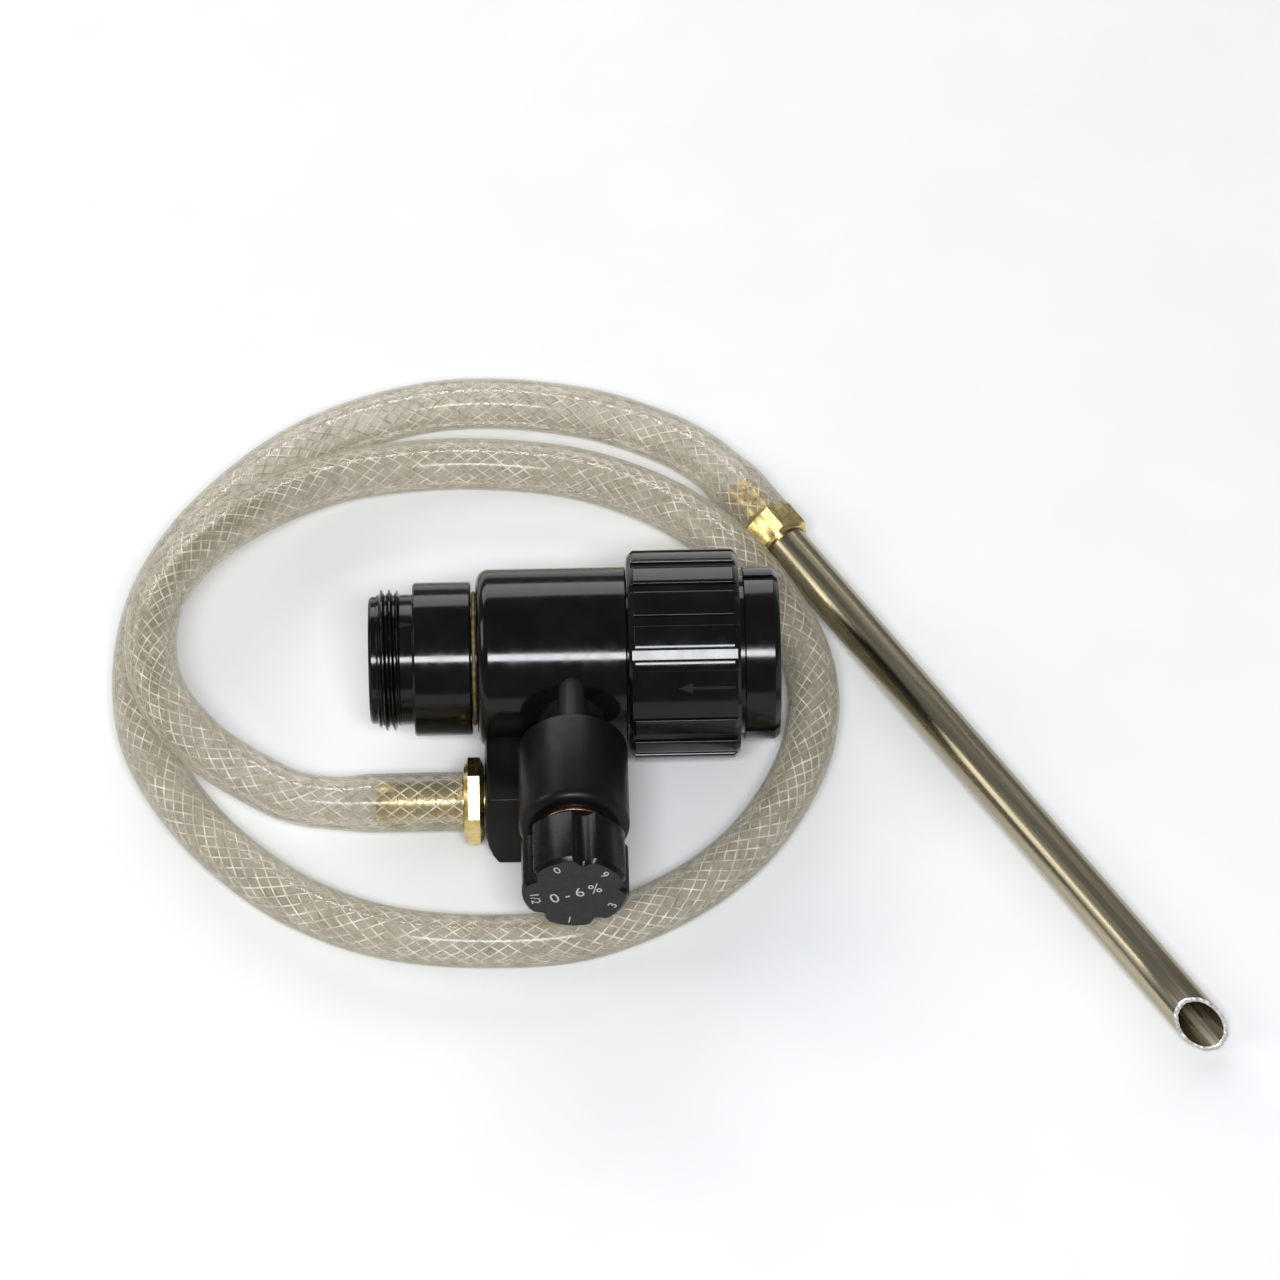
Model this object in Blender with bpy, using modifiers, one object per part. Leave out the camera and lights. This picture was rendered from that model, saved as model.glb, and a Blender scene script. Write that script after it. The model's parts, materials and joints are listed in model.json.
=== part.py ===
"""In-line foam eductor with a metering valve, pick-up hose and steel pick-up tube.

Water enters the swivel coupling at +X, speeds up in the jet nozzle, draws foam
concentrate in through the metering valve and leaves through the male thread at -X.
Lengths are in millimetres and are scaled to metres as the meshes are made.
Three frames hold the pieces: the flow axis (its Z is world +X, measured from the
outlet end), the valve axis (its Z is the distance out from the flow axis, its Y is
up) and the port axis (its Z points out along the hose nipple).
"""

import math

import bmesh
import bpy
from mathutils import Matrix, Vector

MM = 0.001
GAP = 0.3                      # clearance between neighbouring pieces
ROUND = 32                     # sides of the large turned pieces
FINE = 18                      # sides of the small turned pieces

# ---- driving dimensions -------------------------------------------------------
LENGTH = 146.0                 # outlet end to inlet end
FLOW_X = -73.0                 # world x of the outlet end
FLOW_Y = 37.0                  # world y of the flow axis
FLOW_Z = 37.5                  # height of the flow axis over the table

THREAD_CREST = 25.25           # 1.5 inch hose thread, 9 to the inch
THREAD_ROOT = 23.4
THREAD_PITCH = 2.82
PILOT_R = 22.85
NECK_R = 23.4
COLLAR_R = 27.5
COLLAR_START, COLLAR_END = 15.8, 36.4
BODY_R = 31.75
BODY_START, BODY_END = 38.3, 91.7
BODY_SHOULDER = 4.0
BORE_R = 17.0
SPIGOT_R, SPIGOT_END = 22.0, 56.0

JOURNAL_R, JOURNAL_END = 24.5, 118.0
RACE_X, RACE_HALF, RACE_DEPTH = 102.0, 2.6, 2.5
RACE_BALL_R, RACE_BALLS = 2.3, 8

GRIP_R, GRIP_START, GRIP_END = 37.5, 92.2, 131.6
GRIP_INNER = 34.3
GRIP_GROOVE, GROOVE_WIDTH = 0.9, 6.0      # depth, and width in degrees
GROOVE_STARTS = [-83, -63, -43, -22, -3, 50, 68] + list(range(88, 268, 20))
ARROW_PAD = (9.0, 38.5)        # wide recess for the flow arrow, degrees
GRIP_TURN = 217.0              # where those degrees start, round the flow axis
SLOT_TURN = math.radians(67)   # first of the three spanner slots in the end ring
END_RING_R, END_RING_START = 31.0, 133.3
INLET_BORE = 24.6              # minor radius of the female inlet thread

VALVE_X = 71.7                 # valve axis, from the outlet end
VALVE_TILT = math.radians(5.0)
HOUSING_R, HOUSING_START, HOUSING_END = 19.4, 44.0, 82.0
HOUSING_NECK_R = 11.8
CHAMBER_R, CHAMBER_START = 13.3, 50.0
BOSS_R, BOSS_H = 4.6, 13.4
BLOCK_TOP, BLOCK_START, BLOCK_END = -8.0, 28.0, 60.0
BLOCK_FOOT = -43.2             # runs below the table and is cut off flat on it
BLOCK_SIDE = [(30.5, 0.0), (31.1, 0.15), (31.4, 0.3), (31.4, 0.45), (31.1, 0.6),
              (30.3, 0.75), (28.9, 0.88), (27.0, 1.0)]
PORT_H, PORT_D = -25.0, 45.6
PORT_THREAD_R = 10.2

KNOB_R, KNOB_START, KNOB_END = 18.7, 88.0, 110.0
KNOB_COLLAR_R, KNOB_BACK = 12.0, 83.4
KNOB_FLUTES, FLUTE_DEPTH = 5, 2.6
FLUTE_HALF = 13.0              # half the width of a flute, in degrees
FLUTE_TURN = math.radians(80.5)
DETENT_R = 9.3                 # radius of the detent circle on the knob's back

HEX_AF, HEX_START, HEX_END = 27.0, 31.7, 38.8
BARB_END = 70.0                # nipple tip, out from the valve axis
HOSE_R = 9.525
BARB_BORE = 5.0

TUBE_R, TUBE_WALL = 7.94, 1.25
FITTING_AF, FITTING_HEX, FITTING_BARB = 19.05, 12.5, 17.5
TUBE_SOCKET = 9.0

# Hose centreline on the table, chosen by hand: x, y, z in millimetres.
HOSE_ROUTE = [
    (-72.2, -10.6, 16.5), (-86.0, -10.4, 16.7), (-100.0, -8.0, 17.2),
    (-114.0, -0.8, 18.6), (-133.0, 12.2, 22.4), (-148.0, 31.5, 27.2),
    (-152.2, 51.5, 28.8), (-149.4, 74.0, 28.8), (-138.0, 96.0, 26.5),
    (-117.5, 117.7, 22.2), (-88.0, 137.6, 15.5), (-60.0, 145.6, 12.0),
    (-30.0, 146.9, 10.9), (3.0, 141.7, 10.7), (28.5, 129.9, 11.6),
    (46.0, 115.0, 14.4), (61.0, 98.1, 15.6), (74.5, 77.4, 13.5),
    (83.5, 58.0, 9.8), (86.2, 38.0, 9.6), (83.7, 17.5, 9.6),
    (75.5, -4.0, 9.6), (61.0, -26.5, 9.6), (43.0, -43.5, 9.6),
    (20.0, -57.0, 9.6), (-7.0, -65.3, 9.6), (-63.0, -62.8, 9.6),
    (-98.0, -48.3, 9.6), (-125.0, -25.3, 9.6), (-143.7, 0.0, 9.6),
    (-155.2, 27.0, 9.6), (-157.5, 62.0, 9.6), (-151.0, 93.0, 9.6),
    (-132.0, 126.0, 9.6), (-95.0, 160.0, 9.6), (-47.0, 176.5, 9.6),
    (4.0, 172.2, 9.6), (36.0, 158.5, 10.0), (50.5, 147.2, 10.6),
    (62.1, 132.7, 11.3),
]
HOSE_POINTS = 42               # points of the tube read from that route
TUBE_TIP = (219.6, -112.8, TUBE_R + 0.02)
TIP_LEAN = (-0.4, -0.25, 0.88)  # the slant cut faces forward and this way
FITTING_FACE = (72.3, 116.8, 11.2)


# ---- scene and materials ------------------------------------------------------
for old in list(bpy.data.objects):
    bpy.data.objects.remove(old, do_unlink=True)


def collection(name):
    found = bpy.data.collections.new(name)
    bpy.context.scene.collection.children.link(found)
    return found


PARTS = collection("foam_eductor")
CUTTERS = collection("cutters")


def principled(name, colour, roughness, metallic):
    made = bpy.data.materials.new(name)
    made.use_nodes = True
    shader = made.node_tree.nodes["Principled BSDF"]
    shader.inputs["Base Color"].default_value = (*colour, 1.0)
    shader.inputs["Roughness"].default_value = roughness
    shader.inputs["Metallic"].default_value = metallic
    made.diffuse_color = (*colour, 1.0)
    return made


FINISHES = {
    "anodised": ((0.022, 0.021, 0.022), 0.28, 0.85),
    "knob_black": ((0.035, 0.033, 0.034), 0.4, 0.6),
    "brass": ((0.72, 0.52, 0.22), 0.25, 1.0),
    "bronze": ((0.45, 0.28, 0.18), 0.35, 1.0),
    "steel": ((0.55, 0.53, 0.5), 0.22, 1.0),
    "rubber": ((0.02, 0.02, 0.02), 0.75, 0.0),
    "seal_cream": ((0.7, 0.6, 0.35), 0.5, 0.0),
    "plastic_white": ((0.8, 0.8, 0.76), 0.45, 0.0),
    "hose_clear": ((0.62, 0.58, 0.46), 0.25, 0.0),
}


def finish(name, kind):
    return principled(name + "_material", *FINISHES[kind])


# ---- frames -------------------------------------------------------------------
def frame(name, location, rotation, parent=None):
    empty = bpy.data.objects.new(name, None)
    empty.empty_display_size = 10 * MM
    PARTS.objects.link(empty)
    empty.parent = parent
    empty.location = Vector(location) * MM
    empty.rotation_euler = rotation
    return empty


FLOW = frame("flow_axis", (FLOW_X, FLOW_Y, FLOW_Z), (0, math.pi / 2, 0))
VALVE = frame(
    "valve_axis",
    (FLOW_X + VALVE_X, FLOW_Y, FLOW_Z),
    (math.pi / 2 - VALVE_TILT, 0, 0),
)
PORT = frame("port_axis", (0, PORT_H, PORT_D), (0, -math.pi / 2, 0), VALVE)


# ---- shapes -------------------------------------------------------------------
def place(obj, kind, parent, location=(0, 0, 0), rotation=(0, 0, 0)):
    """Link a piece (or, with no kind, a cutter) and hang it on its frame."""
    if kind is None:
        CUTTERS.objects.link(obj)
        obj.hide_render = True
        obj.display_type = "WIRE"
    else:
        PARTS.objects.link(obj)
        obj.data.materials.append(finish(obj.name, kind))
    obj.parent = parent
    obj.location = Vector(location) * MM
    obj.rotation_euler = rotation
    return obj


def mesh_object(name, bm):
    mesh = bpy.data.meshes.new(name)
    bm.to_mesh(mesh)
    bm.free()
    mesh.shade_smooth()
    mesh.set_sharp_from_angle(angle=math.radians(35))
    return bpy.data.objects.new(name, mesh)


def turned(name, kind, parent, outer, inner=None, sides=ROUND, **where):
    """Turn a profile about the frame's Z: outer and inner rise from low Z to high Z."""
    closed = inner is not None
    points = list(reversed(outer)) + list(inner or [])
    mesh = bpy.data.meshes.new(name)
    bm = bmesh.new()
    ring = [bm.verts.new((r * MM, 0, z * MM)) for r, z in points]
    count = len(ring)
    for i in range(count if closed else count - 1):
        bm.edges.new((ring[i], ring[(i + 1) % count]))
    bm.to_mesh(mesh)
    bm.free()
    obj = place(bpy.data.objects.new(name, mesh), kind, parent, **where)
    screw = obj.modifiers.new("turn", "SCREW")
    screw.axis = "Z"
    screw.angle = math.tau
    screw.steps = screw.render_steps = sides
    screw.use_merge_vertices = True
    screw.merge_threshold = 0.00001
    screw.use_smooth_shade = True
    return obj


def rod(name, kind, parent, radius, low, high, sides=FINE, **where):
    outer = [(0, low), (radius, low), (radius, high), (0, high)]
    return turned(name, kind, parent, outer, sides=sides, **where)


def ring(name, kind, parent, inner_r, outer_r, low, high, sides=FINE, **where):
    outer = [(outer_r, low), (outer_r, high)]
    inner = [(inner_r, low), (inner_r, high)]
    return turned(name, kind, parent, outer, inner, sides=sides, **where)


def o_ring(name, kind, parent, middle, section, station, sides=FINE):
    """A seal of round section, as a turned hexagon."""
    half = section * math.sin(math.pi / 3)
    outer = [(middle + section / 2, station - half), (middle + section, station),
             (middle + section / 2, station + half)]
    inner = [(middle - section / 2, station - half), (middle - section, station),
             (middle - section / 2, station + half)]
    return turned(name, kind, parent, outer, inner, sides=sides)


def ball(name, kind, parent, radius, location):
    bm = bmesh.new()
    bmesh.ops.create_uvsphere(bm, u_segments=8, v_segments=6, radius=radius * MM)
    return place(mesh_object(name, bm), kind, parent, location=location)


def prism(name, kind, parent, outline, low, high, **where):
    """Extrude a flat outline, given in the frame's X and Y, from low to high Z."""
    curve = bpy.data.curves.new(name, "CURVE")
    curve.dimensions = "2D"
    curve.fill_mode = "BOTH"
    curve.extrude = (high - low) / 2 * MM
    spline = curve.splines.new("POLY")
    spline.points.add(len(outline) - 1)
    for point, (x, y) in zip(spline.points, outline):
        point.co = (x * MM, y * MM, 0, 1)
    spline.use_cyclic_u = True
    source = bpy.data.objects.new(name + "_outline", curve)
    bpy.context.scene.collection.objects.link(source)
    bpy.context.view_layer.update()
    evaluated = source.evaluated_get(bpy.context.evaluated_depsgraph_get())
    mesh = bpy.data.meshes.new_from_object(evaluated)
    bpy.data.objects.remove(source, do_unlink=True)
    bm = bmesh.new()
    bm.from_mesh(mesh)
    bmesh.ops.remove_doubles(bm, verts=bm.verts, dist=0.00001)
    bmesh.ops.translate(bm, verts=bm.verts, vec=(0, 0, (low + high) / 2 * MM))
    bmesh.ops.recalc_face_normals(bm, faces=bm.faces)
    return place(mesh_object(name, bm), kind, parent, **where)


def hexagon(across_flats, turn=0.0):
    corner = across_flats / math.sqrt(3)
    angles = [turn + math.tau * i / 6 for i in range(6)]
    return [(corner * math.cos(a), corner * math.sin(a)) for a in angles]


def bevel(obj, width, segments=1, limit=30):
    made = obj.modifiers.new("bevel", "BEVEL")
    made.width = width * MM
    made.segments = segments
    made.limit_method = "ANGLE"
    made.angle_limit = math.radians(limit)
    return obj


def boolean(obj, other, operation="DIFFERENCE"):
    made = obj.modifiers.new(operation.lower(), "BOOLEAN")
    made.operation = operation
    made.object = other
    made.solver = "EXACT"
    return obj


def rounded(radius, low, high, corner, count=3):
    """Outer profile of a cylinder whose far edge is rounded, low to high."""
    arc = [(radius - corner + corner * math.cos(a), high - corner + corner * math.sin(a))
           for a in (math.pi / 2 * i / count for i in range(count + 1))]
    return [(radius, low)] + arc


# ---- flow axis: outlet, body, diffuser, nozzle --------------------------------
def make_outlet_adapter():
    crests = []
    station = 4.2
    while station < 10.5:
        crests += [(THREAD_ROOT, station - THREAD_PITCH / 2), (THREAD_CREST, station)]
        station += THREAD_PITCH
    outer = [(PILOT_R - 0.8, 0), (PILOT_R, 0.8), (PILOT_R, 2.7)] + crests
    outer += [(THREAD_ROOT, 11.2), (NECK_R, COLLAR_START)]
    outer += [(COLLAR_R - 0.6, COLLAR_START), (COLLAR_R, COLLAR_START + 1.0)]
    outer += [(COLLAR_R, COLLAR_END - 0.8), (COLLAR_R - 0.8, COLLAR_END)]
    outer += [(SPIGOT_R, COLLAR_END), (SPIGOT_R, SPIGOT_END)]
    inner = [(15.6, 0), (15.6, 11.5), (BORE_R, 11.5), (BORE_R, SPIGOT_END)]
    turned("outlet_adapter", "anodised", FLOW, outer, inner)


def make_main_body():
    shoulder = [(BODY_R - BODY_SHOULDER + BODY_SHOULDER * math.sin(a),
                 BODY_START + BODY_SHOULDER - BODY_SHOULDER * math.cos(a))
                for a in (math.pi / 2 * i / 4 for i in range(5))]
    outer = shoulder + [(BODY_R, BODY_END - 0.6), (BODY_R - 0.6, BODY_END)]
    outer += [(JOURNAL_R, BODY_END)]
    outer += [(JOURNAL_R, RACE_X - RACE_HALF), (JOURNAL_R - RACE_DEPTH, RACE_X - RACE_HALF)]
    outer += [(JOURNAL_R - RACE_DEPTH, RACE_X + RACE_HALF), (JOURNAL_R, RACE_X + RACE_HALF)]
    outer += [(JOURNAL_R, 110.6), (JOURNAL_R - 2.6, 110.6)]
    outer += [(JOURNAL_R - 2.6, 114.0), (JOURNAL_R, 114.0), (JOURNAL_R, JOURNAL_END)]
    socket = SPIGOT_R + GAP
    inner = [(socket, BODY_START), (socket, SPIGOT_END + GAP), (BORE_R, SPIGOT_END + GAP)]
    inner += [(BORE_R, JOURNAL_END)]
    body = turned("main_body", "anodised", FLOW, outer, inner)
    boolean(body, rod("suction_hole_cutter", None, VALVE, 12.0, 10.0, 40.0))


def make_diffuser():
    outer = [(16.7, 12.0), (16.7, 58.0), (12.5, 65.0)]
    inner = [(15.2, 12.0), (7.6, 56.0), (7.6, 60.0), (11.3, 65.0)]
    turned("diffuser", "brass", FLOW, outer, inner, sides=FINE)


def make_jet_nozzle():
    outer = [(8.0, 79.0), (15.2, 104.0), (16.7, 104.0), (16.7, 107.4), (14.7, 107.4)]
    outer += [(14.7, 110.2), (16.7, 110.2), (16.7, 113.0)]
    inner = [(6.2, 79.0), (6.2, 83.0), (13.6, 108.0), (15.6, 113.0)]
    turned("jet_nozzle", "brass", FLOW, outer, inner, sides=FINE)
    o_ring("nozzle_o_ring", "rubber", FLOW, 15.85, 0.95, 108.8)


# ---- swivel -------------------------------------------------------------------
def ribbed_outline():
    """Round outline with shallow grooves and one wide recess for the flow arrow."""
    recesses = [(start, start + GROOVE_WIDTH) for start in GROOVE_STARTS] + [ARROW_PAD]
    recesses.sort()
    outline = []
    for i, (start, end) in enumerate(recesses):
        after = recesses[i + 1][0] if i + 1 < len(recesses) else recesses[0][0] + 360
        floor = [(GRIP_R - GRIP_GROOVE, start + 0.4), (GRIP_R - GRIP_GROOVE, end - 0.4)]
        if end - start > 10:
            floor.insert(1, (GRIP_R - GRIP_GROOVE, (start + end) / 2))
        land = [(GRIP_R, end), (GRIP_R, (end + after) / 2), (GRIP_R, after)]
        outline += floor + land
    turn = [(r, math.radians(GRIP_TURN + angle)) for r, angle in outline]
    return [(r * math.cos(a), r * math.sin(a)) for r, a in turn]


def make_swivel():
    bore = JOURNAL_R + 0.45
    outer = [(GRIP_INNER - GAP - 0.8, 92.4), (GRIP_INNER - GAP, 93.2)]
    outer += [(GRIP_INNER - GAP, GRIP_END - 0.4), (28.5, GRIP_END - 0.4)]
    outer += [(28.5, END_RING_START), (END_RING_R - 0.6, END_RING_START)]
    outer += [(END_RING_R, END_RING_START + 0.6), (END_RING_R, LENGTH - 2.0)]
    outer += [(END_RING_R - 2.0, LENGTH)]
    inner = [(bore, 92.4), (bore, RACE_X - RACE_HALF), (bore + RACE_DEPTH, RACE_X - RACE_HALF)]
    inner += [(bore + RACE_DEPTH, RACE_X + RACE_HALF), (bore, RACE_X + RACE_HALF)]
    inner += [(bore, JOURNAL_END + 0.5), (18.5, JOURNAL_END + 0.5), (18.5, 120.8)]
    inner += [(25.9, 120.8), (25.9, 124.6), (INLET_BORE, 125.6), (INLET_BORE, LENGTH - 1.4)]
    inner += [(INLET_BORE + 1.4, LENGTH)]
    coupling = turned("swivel_coupling", "anodised", FLOW, outer, inner)
    boolean(coupling, rod("race_hole_cutter", None, FLOW, 3.0, 26.0, 40.0, sides=12,
                          location=(0, 0, RACE_X), rotation=(0, math.pi / 2, 0)))
    for i in range(3):
        angle = SLOT_TURN + math.tau * i / 3
        slot = prism("end_slot_cutter_%d" % i, None, FLOW,
                     [(END_RING_R - 1.5, -1.8), (40, -1.8), (40, 1.8), (END_RING_R - 1.5, 1.8)],
                     END_RING_START - 1.5, LENGTH + 4.0, rotation=(0, 0, math.pi / 2 + angle))
        boolean(coupling, slot)
    rod("race_plug", "steel", FLOW, 2.7, 27.7, 33.7, sides=12,
        location=(0, 0, RACE_X), rotation=(0, math.pi / 2, 0))
    for i in range(RACE_BALLS):
        angle = math.tau * (i + 0.5) / RACE_BALLS
        middle = JOURNAL_R + 0.22
        ball("race_ball_%d" % (i + 1), "steel", FLOW, RACE_BALL_R,
             (middle * math.cos(angle), middle * math.sin(angle), RACE_X))
    o_ring("swivel_o_ring", "rubber", FLOW, 23.4, 1.2, 112.3, sides=ROUND)
    ring("inlet_gasket", "rubber", FLOW, 19.2, 25.5, 121.1, 124.2)

    grip = prism("grip_ring", "anodised", FLOW, ribbed_outline(), GRIP_START, GRIP_END)
    chamfer = [(GRIP_R + 2.0, GRIP_START - 1), (GRIP_R + 2.0, GRIP_START + 2.2)]
    chamfer += [(GRIP_R + 2.0, GRIP_END - 2.2), (GRIP_R + 2.0, GRIP_END + 1)]
    inside = [(GRIP_R - 2.6, GRIP_START - 1), (GRIP_R + 0.6, GRIP_START + 2.2)]
    inside += [(GRIP_R + 0.6, GRIP_END - 2.2), (GRIP_R - 2.6, GRIP_END + 1)]
    boolean(grip, turned("grip_chamfer_cutter", None, FLOW, chamfer, inside))
    boolean(grip, rod("grip_bore_cutter", None, FLOW, GRIP_INNER, 80, 140, sides=ROUND))


# ---- metering valve -----------------------------------------------------------
def block_outline():
    """Side block seen along the valve axis: flat top, gently bowed outer end."""
    height = BLOCK_TOP - BLOCK_FOOT
    side = [(-left, BLOCK_TOP - height * share) for left, share in BLOCK_SIDE]
    return [(0, BLOCK_FOOT), (0, BLOCK_TOP)] + side


def make_valve_housing():
    profile = [(0, 18.0), (HOUSING_NECK_R, 18.0), (HOUSING_NECK_R, HOUSING_START)]
    profile += rounded(HOUSING_R, HOUSING_START, HOUSING_END, 3.0, 4) + [(0, HOUSING_END)]
    housing = turned("valve_housing", "anodised", VALVE, profile)
    block = prism("side_block_cutter", None, VALVE, block_outline(), BLOCK_START, BLOCK_END)
    bevel(block, 0.8)
    boolean(housing, block, "UNION")
    boolean(housing, prism("table_cutter", None, None, [(-60, -60), (60, -60), (60, 60), (-60, 60)],
                           -20.0, 0.1))
    boolean(housing, rod("boss_cutter", None, VALVE, BOSS_R, 15.0, HOUSING_START + 2,
                         location=(0, BOSS_H, 0)), "UNION")
    boolean(housing, rod("saddle_cutter", None, FLOW, BODY_R + GAP, -10, LENGTH + 20,
                         sides=ROUND))
    spigot = [(0, 22.0), (11.6, 22.0), (11.6, 25.4), (9.6, 25.4), (9.6, 28.4)]
    spigot += [(11.6, 28.4), (11.6, 40.0), (0, 40.0)]
    boolean(housing, turned("spigot_cutter", None, VALVE, spigot, sides=FINE), "UNION")
    chamber = [(0, 10.0), (6.5, 10.0), (6.5, CHAMBER_START - 3.2), (10.3, CHAMBER_START - 3.2)]
    chamber += [(10.3, CHAMBER_START), (CHAMBER_R, CHAMBER_START)]
    chamber += [(CHAMBER_R, HOUSING_END + 2), (0, HOUSING_END + 2)]
    boolean(housing, turned("chamber_cutter", None, VALVE, chamber, sides=FINE))
    port = [(0, 3.0), (7.9, 3.0), (7.9, 19.5), (PORT_THREAD_R, 19.5), (PORT_THREAD_R, 45.0)]
    boolean(housing, turned("port_cutter", None, PORT, port + [(0, 45.0)], sides=FINE))
    start, end = Vector((-6.5, PORT_H + 1, PORT_D + 1)), Vector((-3.0, -5.0, 60.0))
    drill = rod("passage_cutter", None, VALVE, 4.2, 0, (end - start).length, sides=16,
                location=start)
    drill.rotation_euler = (end - start).to_track_quat("Z", "Y").to_euler()
    boolean(housing, drill)
    o_ring("spigot_o_ring", "rubber", VALVE, 10.8, 0.95, 26.9)


def make_valve_inside():
    ring("metering_seat", "plastic_white", VALVE, 4.5, 10.0, CHAMBER_START - 2.9,
         CHAMBER_START - 0.1)
    disc = rod("metering_disc", "steel", VALVE, 12.6, CHAMBER_START + 0.3,
               CHAMBER_START + 2.8)
    for i, radius in enumerate((1.1, 1.6, 2.3, 3.2)):
        angle = math.radians(90) + math.tau * (i + 1) / KNOB_FLUTES
        where = (8.0 * math.cos(angle), 8.0 * math.sin(angle), 0)
        boolean(disc, rod("orifice_cutter_%d" % i, None, VALVE, radius, 45, 60, sides=12,
                          location=where))
    spindle = [(0, CHAMBER_START + 3.1), (9.0, CHAMBER_START + 3.1)]
    spindle += [(9.0, CHAMBER_START + 5.5), (6.0, CHAMBER_START + 5.5), (6.0, 90.0)]
    spindle += [(4.7, 90.0), (4.7, 103.0), (0, 103.0)]
    turned("valve_spindle", "steel", VALVE, spindle, sides=FINE)
    low, high = 66.0, HOUSING_END - 0.3
    outer = [(CHAMBER_R - GAP, low), (CHAMBER_R - GAP, 68.0), (11.0, 68.0), (11.0, 70.6)]
    outer += [(CHAMBER_R - GAP, 70.6), (CHAMBER_R - GAP, high)]
    inner = [(6.3, low), (6.3, 71.2), (7.8, 71.2), (7.8, 73.8), (6.3, 73.8), (6.3, high)]
    bonnet = turned("valve_bonnet", "brass", VALVE, outer, inner, sides=FINE)
    hole = rod("detent_hole_cutter", None, VALVE, 1.9, 74.6, 90.0, sides=16,
               location=(0, DETENT_R, 0))
    boolean(bonnet, hole)
    o_ring("bonnet_o_ring", "rubber", VALVE, 12.1, 0.9, 69.3)
    o_ring("spindle_o_ring", "rubber", VALVE, 7.05, 0.65, 72.5)
    washer = ring("thrust_washer", "bronze", VALVE, 6.4, 13.4, HOUSING_END + 0.1,
                  KNOB_BACK - 0.3)
    boolean(washer, hole)
    ball("detent_ball", "steel", VALVE, 1.6, (0, DETENT_R, 82.7))
    helix("detent_spring", "steel", VALVE, 1.2, 0.25, 3.0, 75.0, 80.5, (0, DETENT_R, 0))


def helix(name, kind, parent, radius, wire, turns, low, high, location, per_turn=8):
    """A compression spring on the frame's Z, as a bevelled poly spline."""
    curve = bpy.data.curves.new(name, "CURVE")
    curve.dimensions = "3D"
    curve.bevel_depth = wire * MM
    curve.bevel_resolution = 1
    curve.use_fill_caps = True
    count = int(turns * per_turn) + 1
    spline = curve.splines.new("POLY")
    spline.points.add(count - 1)
    for i, point in enumerate(spline.points):
        angle = math.tau * i / per_turn
        z = low + wire + (high - low - 2 * wire) * i / (count - 1)
        point.co = (radius * math.cos(angle) * MM, radius * math.sin(angle) * MM, z * MM, 1)
    return place(bpy.data.objects.new(name, curve), kind, parent, location=location)


def knob_outline():
    """Round knob with five narrow finger flutes between the five dial positions."""
    outline = []
    for i in range(KNOB_FLUTES):
        for offset in (-13.0, -8.5, -4.0, 4.0, 8.5, 13.0, 24.5, 36.0, 47.5):
            share = min(1.0, abs(offset) / FLUTE_HALF)
            radius = KNOB_R - FLUTE_DEPTH * (0.5 + 0.5 * math.cos(math.pi * share))
            angle = FLUTE_TURN + math.tau * i / KNOB_FLUTES + math.radians(offset)
            outline.append((radius * math.cos(angle), radius * math.sin(angle)))
    return outline


def make_knob():
    knob = prism("knob", "knob_black", VALVE, knob_outline(), KNOB_START, KNOB_END)
    bevel(knob, 1.4, 1, 60)
    collar = rounded(KNOB_COLLAR_R, -(KNOB_START + 3), -KNOB_BACK, 1.2)
    collar = [(0, KNOB_BACK)] + [(r, -z) for r, z in reversed(collar)]
    collar += [(0, KNOB_START + 3)]
    boolean(knob, turned("knob_collar_cutter", None, VALVE, collar, sides=32), "UNION")
    boolean(knob, rod("knob_bore_cutter", None, VALVE, 6.3, 80, 90.3))
    boolean(knob, rod("knob_socket_cutter", None, VALVE, 5.0, 85, 103.4))
    groove = [(DETENT_R + 2.0, 80), (DETENT_R + 2.0, KNOB_BACK + 1.2)]
    inside = [(DETENT_R - 2.0, 80), (DETENT_R - 2.0, KNOB_BACK + 1.2)]
    boolean(knob, turned("detent_groove_cutter", None, VALVE, groove, inside, sides=32))
    for i in range(KNOB_FLUTES):
        angle = math.radians(90) + math.tau * i / KNOB_FLUTES
        where = (DETENT_R * math.cos(angle), DETENT_R * math.sin(angle), 0)
        boolean(knob, rod("detent_pocket_cutter_%d" % i, None, VALVE, 1.5, 82,
                          KNOB_BACK + 1.9, sides=10, location=where))
    spin = Matrix.Rotation(FLUTE_TURN, 4, "Z") @ Matrix.Rotation(math.pi / 2, 4, "Y")
    side = spin.to_euler()
    boolean(knob, rod("set_screw_cutter", None, VALVE, 2.2, 2.0, 24.0, sides=12,
                      location=(0, 0, 97.0), rotation=side))
    rod("knob_set_screw", "steel", VALVE, 1.9, 5.1, 12.5, sides=12,
        location=(0, 0, 97.0), rotation=side)


# ---- suction port: check valve and nipple -------------------------------------
def make_check_valve():
    ring("check_seat", "plastic_white", PORT, 4.4, 7.6, 16.4, 19.2)
    ball("check_ball", "plastic_white", PORT, 5.4, (0, 0, 12.6))
    helix("check_spring", "steel", PORT, 3.2, 0.35, 2.0, 3.3, 7.3, (0, 0, 0))


def barb_profile(radius, start, end, count, depth):
    """Saw-tooth barbs from start to end, steep towards start."""
    profile = []
    step = (end - start) / count
    for i in range(count):
        low = start + step * i
        profile += [(radius - depth, low), (radius, low + 0.4)]
        profile += [(radius - depth, low + step)] if i < count - 1 else []
    return profile + [(radius - depth, end)]


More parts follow.
